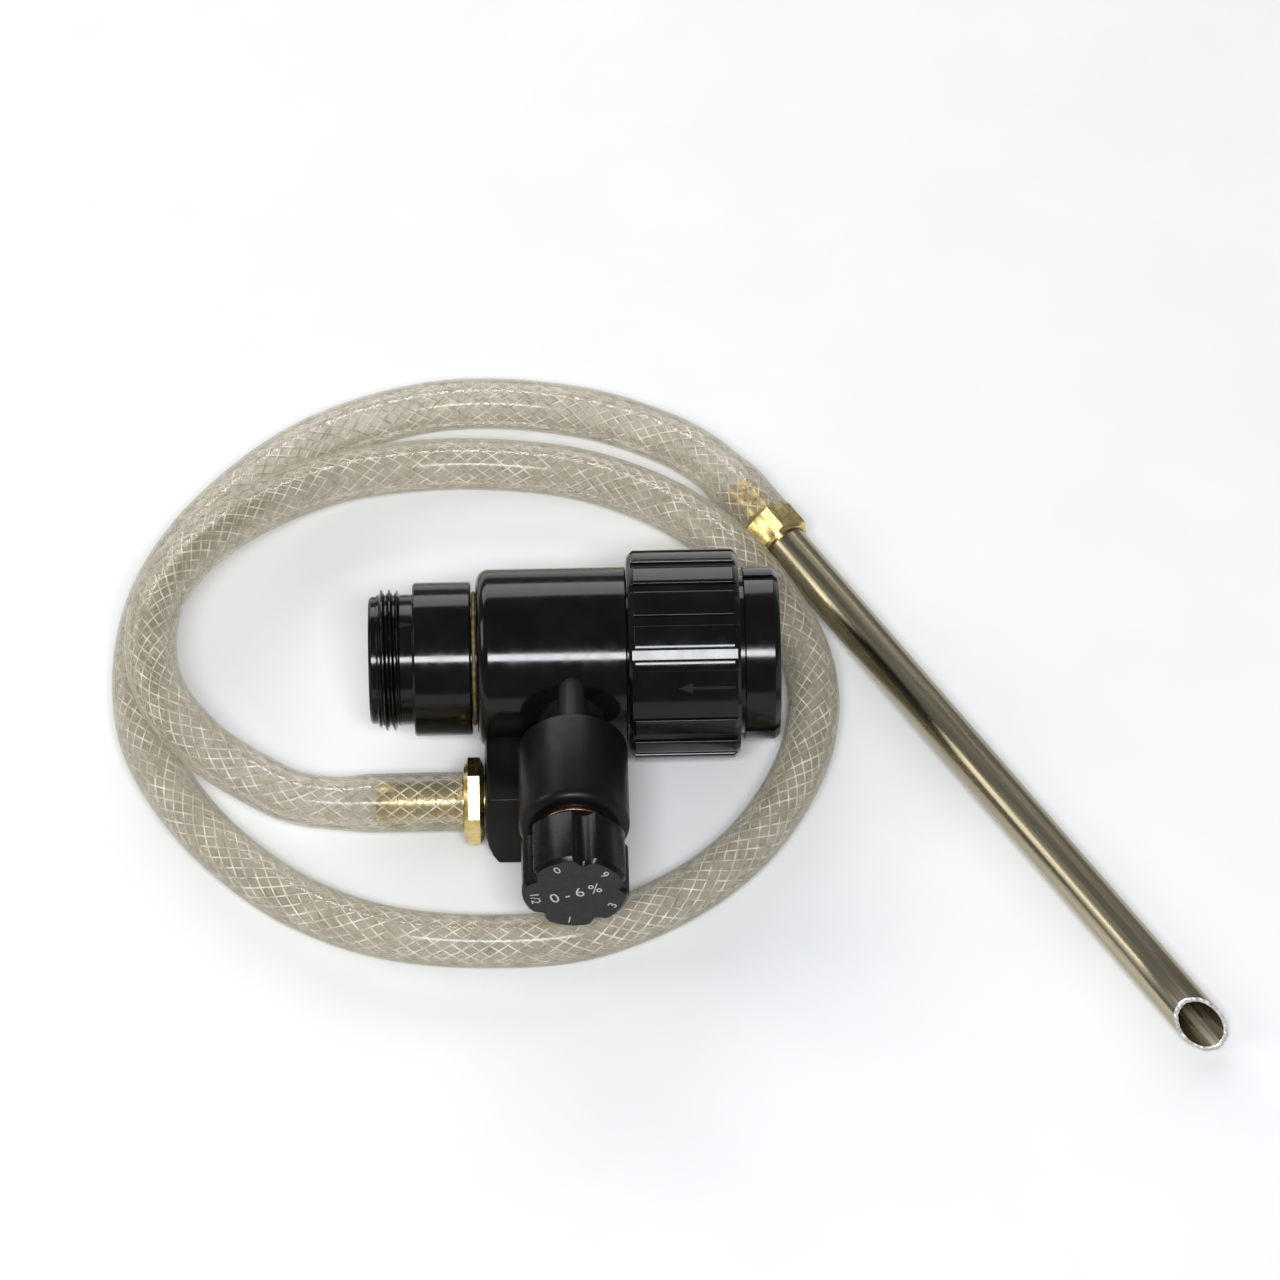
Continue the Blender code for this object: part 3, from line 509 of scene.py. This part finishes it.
def make_tube_fitting():
    """Brass fitting: barbs for the hose, a hexagon, and a socket for the tube."""
    corner = FITTING_AF / math.sqrt(3)
    outer = [(FITTING_BORE, -FITTING_BARB), (6.3, -FITTING_BARB, 0.4)]
    for i in range(FITTING_BARBS):
        high = -FITTING_BARB + FITTING_BARB_STEP * (i + 1)
        outer += [(7.3, high - 0.9), (7.35, high - 0.3, 0.15), (6.5, high)]
    outer += [(6.5, -0.4), (9.2, 0.0), (corner, 1.0), (corner, FITTING_HEX - 1.2)]
    outer += [(9.0, FITTING_HEX, 0.3), (TUBE_R + 0.15, FITTING_HEX)]
    outer += [(TUBE_R + 0.15, FITTING_HEX - TUBE_SOCKET), (FITTING_BORE, FITTING_HEX - TUBE_SOCKET)]
    return turned("brass_tube_fitting", outer, PICK, BRASS, "root", "brass", ("tube_fitting",),
                  hexagon_angles(FITTING_TURN), hexagon(FITTING_AF, FITTING_TURN, 0.0, FITTING_HEX),
                  smooth=25.0, bevel=0.12)


make_hose()

# ---- steel pick-up tube --------------------------------------------------------------
TIP_LEAN = Vector((-0.4, -0.25, 0.88))           # with the tube's axis, the cut's direction


def make_suction_tube():
    """Tube with a slanted, saw-cut tip."""
    length = (TUBE_TIP - FITTING_FACE).length
    turn = PICK.to_3x3()
    normal = (TUBE_AXIS + TIP_LEAN).normalized() @ turn
    end = length - TUBE_R

    def shape(r, z, a):
        if z < end - 1.0:
            return r, z
        reach = end - r * (normal.x * math.cos(a) + normal.y * math.sin(a)) / normal.z
        rough = 0.12 * math.sin(9 * a) + 0.1 * math.sin(23 * a + 1.0)
        return r, reach + (z - end) + rough
    start = FITTING_HEX - TUBE_SOCKET + 0.3
    inner = TUBE_R - TUBE_WALL
    profile = [(inner, start), (TUBE_R, start), (TUBE_R, end - 30.0), (TUBE_R, end - 0.15)]
    profile += [(TUBE_R - 0.12, end), (TUBE_R - TUBE_WALL / 2, end + 0.05), (inner + 0.1, end)]
    profile += [(inner, end - 0.12), (inner, end - 30.0)]
    turned("suction_tube", profile, PICK, (TUBE_STEEL_PAINTED_REFLECTION, CUT_STEEL), "root", "tube_steel",
           ("pickup_tube",), 96, shape, rim=(3, 7))


make_suction_tube()

# ---- outlet, body, swivel ---------------------------------------------------------------
THREAD_ROOT, THREAD_CREST, THREAD_PITCH = 23.4, 25.25, 2.82
THREAD_START, THREAD_END = 2.9, 11.2
THREAD_FADE = 1.2
THREAD_STATIONS = 84


def thread_shape(r, z, a):
    """Right-handed male hose thread, cut back to nothing at both ends."""
    if not (THREAD_START < z < THREAD_END and r > 20.0):
        return r, z
    phase = (z / THREAD_PITCH - a / math.tau) % 1.0
    tooth = max(0.0, min(1.0, 1.25 - 3.1 * abs(phase - 0.5)))
    fade = min(1.0, (z - THREAD_START) / THREAD_FADE, (THREAD_END - z) / THREAD_FADE)
    return THREAD_ROOT + (THREAD_CREST - THREAD_ROOT) * tooth * max(0.0, fade), z


def make_outlet():
    """Outlet adapter: male thread, relief neck, collar, and the spigot inside the body."""
    thread = [(THREAD_ROOT, THREAD_START + (THREAD_END - THREAD_START) * i / THREAD_STATIONS)
              for i in range(THREAD_STATIONS + 1)]
    outer = [(22.0, 0.0, 0.3), (22.85, 0.9, 0.4), (22.85, 2.7)] + thread
    outer += [(THREAD_ROOT, 15.8, 0.3), (27.0, 15.8), (27.5, 16.4, 0.3), (27.5, 35.8, 0.3)]
    outer += [(27.0, 36.4), (22.0, 36.4), (22.0, 56.0), (17.0, 56.0), (17.0, 11.5), (15.6, 11.5)]
    outer += [(15.6, 1.0, 0.4), (16.4, 0.0, 0.3)]
    turned("outlet_thread", outer, FLOW, ANODISED, "root", "anodised_black", ("outlet_adapter",),
           144, thread_shape)


def make_body():
    """Main barrel with its rounded shoulder, and the neck that the swivel turns on."""
    outer = [(22.6, 38.3), (27.2, 38.3), (31.75, 38.3, 4.3), (31.75, 91.7, 0.6), (24.5, 91.7)]
    outer += [(24.5, 99.4), (22.0, 99.4), (22.0, 104.6), (24.5, 104.6), (24.5, 118.0)]
    outer += [(17.0, 118.0), (17.0, 56.3), (22.6, 56.3)]
    turned("main_barrel", outer, FLOW, ANODISED, "root", "anodised_black", ("main_body",), 144)


GRIP_R, GRIP_FLOOR, GRIP_INNER = 37.5, 36.6, 34.3
GRIP_START, GRIP_END = 92.2, 131.6
GROOVE_WIDTH = 6.0             # degrees
GRIP_STEP = 2.5                # widest step between two angles, in degrees
GROOVE_STARTS = [-83, -63, -43, -22, -3, 50, 68] + list(range(88, 268, 20))
ARROW_PAD = (9.0, 38.5)
GRIP_TURN = 127.0              # from +Y, where those degrees start
# A groove wall with a rounded lip: degrees past the groove's edge and depth below the land.
GROOVE_WALL = [(-0.35, 0.0), (-0.08, 0.06), (0.14, 0.24), (0.3, 0.54), (0.4, 0.9)]


def grip_recesses():
    """Start and end of each groove and of the arrow's pad, in degrees."""
    recesses = [(start, start + GROOVE_WIDTH) for start in GROOVE_STARTS] + [ARROW_PAD]
    return sorted(recesses)


def make_grip():
    """Ribbed grip ring, cut by its grooves and the wide pad."""
    recesses = grip_recesses()
    angles, floors = [], []
    for i, (start, end) in enumerate(recesses):
        after = recesses[i + 1][0] if i + 1 < len(recesses) else recesses[0][0] + 360
        angles += [start + off for off, depth in GROOVE_WALL]
        floors += [GRIP_R - depth for off, depth in GROOVE_WALL]
        inside = max(2, round((end - start) / GRIP_STEP))
        for j in range(1, inside):
            angles.append(start + (end - start) * j / inside)
            floors.append(GRIP_FLOOR)
        angles += [end - off for off, depth in reversed(GROOVE_WALL)]
        floors += [GRIP_R - depth for off, depth in reversed(GROOVE_WALL)]
        outside = max(2, round((after - end) / GRIP_STEP))
        for j in range(1, outside):
            angles.append(end + (after - end) * j / outside)
            floors.append(GRIP_R)
    radians = [math.radians(GRIP_TURN + a) for a in angles]
    floor_at = dict(zip(radians, floors))

    def shape(r, z, a):
        return min(r, floor_at[a]), z
    outer = [(GRIP_INNER, GRIP_START), (35.6, GRIP_START, 0.3), (GRIP_FLOOR, GRIP_START + 1.1)]
    outer += [(GRIP_R, GRIP_START + 2.1, 0.4), (GRIP_R, GRIP_END - 2.1, 0.4)]
    outer += [(GRIP_FLOOR, GRIP_END - 1.1), (35.6, GRIP_END, 0.3), (GRIP_INNER, GRIP_END)]
    turned("swivel_grip", outer, FLOW, ANODISED, "swivel", "anodised_black", ("grip_ring",),
           radians, shape, smooth=40.0)


ARROW_AT, ARROW_SPREAD = 19.0, 3.2        # degrees
ARROW_HEAD, ARROW_NECK, ARROW_TAIL = 109.5, 114.5, 129.5
ARROW_SHAFT = 0.8


def make_flow_arrow():
    """A shallow flow arrow in the wide recess, pointing to the outlet."""
    rows = [(ARROW_HEAD, 0.05), (ARROW_NECK, ARROW_SPREAD), (ARROW_NECK + 0.02, ARROW_SHAFT),
            (ARROW_TAIL, ARROW_SHAFT)]
    verts = []
    for radius in (GRIP_FLOOR - 0.2, GRIP_FLOOR + 0.06):
        for z, half in rows:
            for j in range(5):
                a = math.radians(GRIP_TURN + ARROW_AT + half * (j - 2) / 2)
                verts.append((radius * math.cos(a) * MM, radius * math.sin(a) * MM, z * MM))
    faces = []
    for i in range(3):
        for j in range(4):
            low = (i * 5 + j, i * 5 + j + 1, (i + 1) * 5 + j + 1, (i + 1) * 5 + j)
            faces += [tuple(v + 20 for v in low), low[::-1]]
    loop = [0, 1, 2, 3, 4, 9, 14, 19, 18, 17, 16, 15, 10, 5]
    faces += [(a, b, b + 20, a + 20) for b, a in zip(loop, loop[1:] + loop[:1])]
    piece("flow_arrow", verts, faces, FLOW, (MARK,), "swivel", "anodised_black")


SLOTS, SLOT_STEPS = 3, 40
SLOT_TURN, SLOT_HALF, SLOT_FLOOR = 67.0, 3.35, 29.5
SLOT_START = 132.0


def make_swivel_end():
    """Swivel coupling with its slotted end ring and the socket for the hose thread."""
    apart = 360 // SLOTS
    angles = []
    for i in range(SLOTS):
        start = SLOT_TURN + apart * i
        angles += [start - SLOT_HALF, start - SLOT_HALF + 0.1, start, start + SLOT_HALF - 0.1]
        angles += [start + SLOT_HALF + j * (apart - 2 * SLOT_HALF) / SLOT_STEPS
                   for j in range(SLOT_STEPS)]
    radians = [math.radians(a) for a in angles]

    def shape(r, z, a):
        off = (math.degrees(a) - SLOT_TURN + apart / 2) % apart - apart / 2
        if abs(off) < SLOT_HALF - 0.05 and z > SLOT_START and r > SLOT_FLOOR:
            return SLOT_FLOOR, z
        return r, z
    outer = [(33.2, 92.4), (34.0, 93.2), (34.0, 131.2), (28.5, 131.2), (28.5, 133.3), (29.4, 133.3)]
    outer += [(31.0, 133.3, 0.5), (31.0, 143.9, 0.3), (29.5, 145.6), (29.0, 146.0, 0.2)]
    outer += [(26.0, 146.0)]
    outer += [(24.6, 144.6), (24.6, 125.6), (25.9, 124.6), (25.9, 120.8), (18.5, 120.8)]
    outer += [(18.5, 118.5), (24.95, 118.5), (24.95, 92.4)]
    turned("swivel_end", outer, FLOW, ANODISED, "swivel", "anodised_black", ("swivel_coupling",),
           radians, shape, smooth=24.0, bevel=0.1)


def make_flow_insides():
    """Diffuser, jet and gasket in the bore, and the seal behind the collar."""
    cone = [(15.2, 12.0), (16.7, 12.0), (16.7, 58.0), (12.5, 65.0), (11.3, 65.0), (7.6, 60.0)]
    turned("diffuser_cone", cone + [(7.6, 56.0)], FLOW, BRASS, "root", "brass", ("diffuser",), 72)
    jet = [(6.2, 79.0), (8.0, 79.0), (15.2, 104.0), (16.7, 104.0), (16.7, 107.4), (14.7, 107.4)]
    jet += [(14.7, 110.2), (16.7, 110.2), (16.7, 113.0), (15.6, 113.0), (13.6, 108.0), (6.2, 83.0)]
    turned("jet_cone", jet, FLOW, BRASS, "root", "brass", ("jet_nozzle",), 72)
    seal = [(19.2, 121.1, 0.5), (25.5, 121.1, 0.5), (25.5, 124.2, 0.5), (19.2, 124.2, 0.5)]
    turned("inlet_washer", seal, FLOW, RUBBER, "swivel", "rubber", ("inlet_gasket",), 72)
    ring = [(22.3, 36.65), (24.0, 36.65, 0.6), (24.0, 38.05, 0.6), (22.3, 38.05)]
    turned("outlet_seal", ring, FLOW, SEAL_PAINTED_SHADE, "root", "seal_cream", ("outlet_seal_ring",), 96)


make_outlet()
make_body()
make_grip()
make_flow_arrow()
make_swivel_end()
make_flow_insides()

# ---- metering valve -------------------------------------------------------------------
HOUSING_R, NECK_R = 19.4, 11.8
BLOCK_TOP, BLOCK_FOOT, BLOCK_START, BLOCK_END = -8.0, -43.2, 28.0, 60.0
BLOCK_SIDE = [(30.5, 0.0), (31.1, 0.15), (31.4, 0.3), (31.4, 0.45), (31.1, 0.6),
              (30.3, 0.75), (28.9, 0.88), (27.0, 1.0)]
BLOCK_INSIDE = -10.0
BLOCK_EDGE = 0.9
FOOT_GAP = 0.1                 # the block's foot stays this far above the floor
BOSS_R, BOSS_H = 4.6, 13.4


def make_valve_housing():
    """Valve barrel, the small boss on it, and the block that holds the hose nipple."""
    outer = [(NECK_R, 20.0), (NECK_R, 44.0, 0.5), (HOUSING_R, 44.0, 0.7), (HOUSING_R, 82.0, 3.4)]
    outer += [(13.3, 82.0, 0.5), (13.3, 50.0), (10.0, 50.0), (6.5, 46.8), (6.5, 20.0)]
    turned("valve_barrel", outer, VALVE, CAST, "root", "anodised_black", ("valve_housing",), 96)
    boss = [(0.4, 20.0), (BOSS_R, 20.0), (BOSS_R, 45.0), (0.4, 45.0)]
    place = VALVE @ Matrix.Translation((0, BOSS_H * MM, 0))
    turned("valve_boss", boss, place, CAST, "root", "anodised_black", angles=48)
    height = BLOCK_TOP - BLOCK_FOOT
    outline = [(BLOCK_INSIDE, BLOCK_FOOT), (BLOCK_INSIDE, BLOCK_TOP)]
    outline += [(-left, BLOCK_TOP - height * share) for left, share in BLOCK_SIDE]
    verts = []
    for d in (BLOCK_START, BLOCK_END):
        foot = (FOOT_GAP - AXIS_Z - d * TILT_S) / TILT_C
        verts += [(x * MM, max(h, foot) * MM, d * MM) for x, h in outline]
    count = len(outline)
    faces = [tuple(range(count)), tuple(reversed(range(count, 2 * count)))]
    faces += [(i, i + count, (i + 1) % count + count, (i + 1) % count) for i in range(count)]
    block = piece("valve_port_block", verts, faces, VALVE, (CAST,), "root", "anodised_black")
    soften(block, BLOCK_EDGE)


FLUTES, FLUTE_DEPTH, FLUTE_HALF, FLUTE_TURN = 5, 2.6, 14.0, 80.5
KNOB_R, FLUTE_FADE = 18.7, (14.0, 2.4)           # a flute fades in from this radius, over this far
KNOB_START, KNOB_END, KNOB_BACK = 88.0, 110.0, 83.4
DIAL_WORDS = (("0", 116.5), ("6", 44.5), ("3", -27.5), ("1", -99.5), ("1/2", -171.5))
DIAL_LEGEND, LEGEND_TURN, DIAL_R = "0 - 6 %", 18.5, 14.4
WORD_SIZE, LEGEND_SIZE, PRINT_THICK = 4.6, 6.6, 0.03


def flute_shape(r, z, a):
    """Presses the finger flutes into the knob."""
    apart = 360 / FLUTES
    off = (math.degrees(a) - FLUTE_TURN + apart / 2) % apart - apart / 2
    share = min(1.0, abs(off) / FLUTE_HALF)
    depth = FLUTE_DEPTH * (0.5 + 0.5 * math.cos(math.pi * share))
    part = max(0.0, min(1.0, (r - FLUTE_FADE[0]) / FLUTE_FADE[1]))
    return r - depth * part, z


def make_knob():
    """Fluted knob with the printed numbers on its face."""
    outer = [(5.0, 103.0), (5.0, 90.3), (6.3, 90.3), (6.3, KNOB_BACK), (12.0, KNOB_BACK, 1.2)]
    outer += [(12.0, KNOB_START, 0.3), (14.0, KNOB_START), (16.4, KNOB_START)]
    outer += [(KNOB_R, KNOB_START, 0.6), (KNOB_R, KNOB_END - 1.4, 0.2)]
    outer += [(KNOB_R - 1.3, KNOB_END, 0.2)]
    rows = len(filleted(outer))
    outer += [(16.4, KNOB_END), (14.0, KNOB_END), (7.0, KNOB_END), (0.1, KNOB_END)]
    turned("metering_knob_top", outer, VALVE, (KNOB_BLACK, KNOB_FACE), "metering_knob",
           "knob_black", ("knob",), 180, flute_shape, closed=False, rim=(rows - 1, rows + 4),
           smooth=25.0)
    for index, (word, angle) in enumerate(DIAL_WORDS):
        turn = math.radians(angle)
        label("dial_mark_%d" % index, word, WORD_SIZE, turn + math.pi / 2,
              (DIAL_R * math.cos(turn), DIAL_R * math.sin(turn)))
    label("dial_legend", DIAL_LEGEND, LEGEND_SIZE, math.radians(LEGEND_TURN), (0.0, 0.0))


def label(name, words, size, turn, at):
    """Printed words on the knob's face."""
    text = bpy.data.curves.new(name, "FONT")
    text.body = words
    text.size = size * MM
    text.align_x = "CENTER"
    text.align_y = "CENTER"
    text.extrude = PRINT_THICK * MM
    source = bpy.data.objects.new(name + "_text", text)
    bpy.context.scene.collection.objects.link(source)
    bpy.context.view_layer.update()
    graph = bpy.context.evaluated_depsgraph_get()
    flat = bpy.data.meshes.new_from_object(source.evaluated_get(graph))
    bpy.data.objects.remove(source, do_unlink=True)
    flat.materials.clear()
    flat.materials.append(PRINT)
    obj = bpy.data.objects.new(name, flat)
    bpy.context.scene.collection.objects.link(obj)
    where = Vector((at[0], at[1], KNOB_END + 0.02)) * MM
    obj.matrix_world = VALVE @ Matrix.Translation(where) @ Matrix.Rotation(turn, 4, "Z")
    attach(obj, "metering_knob")


def make_washer():
    ring = [(6.4, 82.1), (13.4, 82.1, 0.2), (13.4, 83.1, 0.2), (6.4, 83.1)]
    turned("bronze_washer", ring, VALVE, BRONZE, "root", "bronze", ("thrust_washer",), 72)


HEX_AF, HEX_START, HEX_END = 27.0, 31.7, 38.8
HEX_TURN = math.radians(24)
NIPPLE_TIP = 70.0


def make_nipple():
    """Brass hose nipple: a shank in the block, a hexagon, and barbs for the hose."""
    corner = HEX_AF / math.sqrt(3)
    outer = [(5.0, 19.8), (9.0, 19.8, 0.3), (9.9, 20.8), (9.9, 26.0), (9.4, 28.0), (9.4, HEX_START)]
    outer += [(12.6, HEX_START), (corner, HEX_START + 1.5), (corner, HEX_END - 1.5)]
    outer += [(12.6, HEX_END), (8.2, HEX_END, 0.2), (8.2, HEX_END + 0.6)]
    outer += barbs(7.4, HEX_END + 3.0, NIPPLE_TIP - 1.0, 4, 0.9)
    outer += [(6.3, NIPPLE_TIP - 0.6), (6.0, NIPPLE_TIP, 0.2), (5.0, NIPPLE_TIP)]
    turned("brass_hose_nipple", outer, PORT, BRASS, "root", "brass", ("hose_nipple",),
           hexagon_angles(HEX_TURN), hexagon(HEX_AF, HEX_TURN, HEX_START, HEX_END), smooth=25.0,
           bevel=0.12)


make_valve_housing()
make_knob()
make_washer()
make_nipple()

# ---- finishes of the CAD nodes that stay --------------------------------------------
FINISHES = {
    "steel": STEEL, "rubber": RUBBER, "white_plastic": PLASTIC, "brass": BRASS, "bronze": BRONZE,
    "seal_cream": SEAL_PAINTED_SHADE, "anodised_black": ANODISED,
}


def finish_nodes():
    """Give each CAD node that is still shown its finish."""
    for part in frame["record"]["subparts"]:
        obj = frame["nodes"].get(part["node"])
        if obj is not None and not obj.hide_render and part["material_slot"] in FINISHES:
            obj.data.materials.clear()
            obj.data.materials.append(FINISHES[part["material_slot"]])


finish_nodes()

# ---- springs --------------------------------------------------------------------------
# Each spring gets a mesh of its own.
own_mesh(frame["nodes"]["check_spring"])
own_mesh(frame["nodes"]["detent_spring"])


# ---- floor and light -------------------------------------------------------------------
FLOOR_HALF, FLOOR_DROP = 3.0, 0.0002    # metres
SKY_COLOUR, SKY_STRENGTH = (0.93, 0.96, 1.0, 1.0), 0.2


def make_floor():
    half = FLOOR_HALF
    mesh = bpy.data.meshes.new("floor")
    corners = [(-half, -half, 0), (half, -half, 0), (half, half, 0), (-half, half, 0)]
    mesh.from_pydata(corners, [], [(0, 1, 2, 3)])
    mesh.materials.append(FLOOR)
    floor = bpy.data.objects.new("floor", mesh)
    bpy.context.scene.collection.objects.link(floor)
    floor.location.z = -FLOOR_DROP


def area_light(name, direction, distance, size, power, colour=(1, 1, 1)):
    """A rectangle of light, aimed at the middle of the view from a distance in metres."""
    data = bpy.data.lights.new(name, "AREA")
    data.shape = "RECTANGLE"
    data.size, data.size_y = size
    data.energy = power
    data.color = colour
    light = bpy.data.objects.new(name, data)
    bpy.context.scene.collection.objects.link(light)
    towards = Vector(direction).normalized()
    light.location = AIM + towards * distance
    light.rotation_euler = towards.to_track_quat("Z", "Y").to_euler()


def make_light():
    """Studio light: a narrow key near the camera, soft fill from behind and from the left."""
    world = bpy.data.worlds.new("studio")
    bpy.context.scene.world = world
    world.use_nodes = True
    shade = world.node_tree.nodes["Background"]
    shade.inputs["Color"].default_value = SKY_COLOUR
    shade.inputs["Strength"].default_value = SKY_STRENGTH
    area_light("key_near_camera", BACK, 2.5, (1.2, 0.36), 54.0, (0.95, 0.97, 1.0))
    area_light("soft_behind", (-0.2, 1.0, 0.55), 2.0, (2.0, 0.9), 20.0)
    area_light("soft_left", (-1.0, 0.1, 0.6), 1.9, (0.9, 0.6), 8.0, (1.0, 0.97, 0.92))


make_floor()
make_light()
bpy.context.scene.view_settings.view_transform = "Standard"
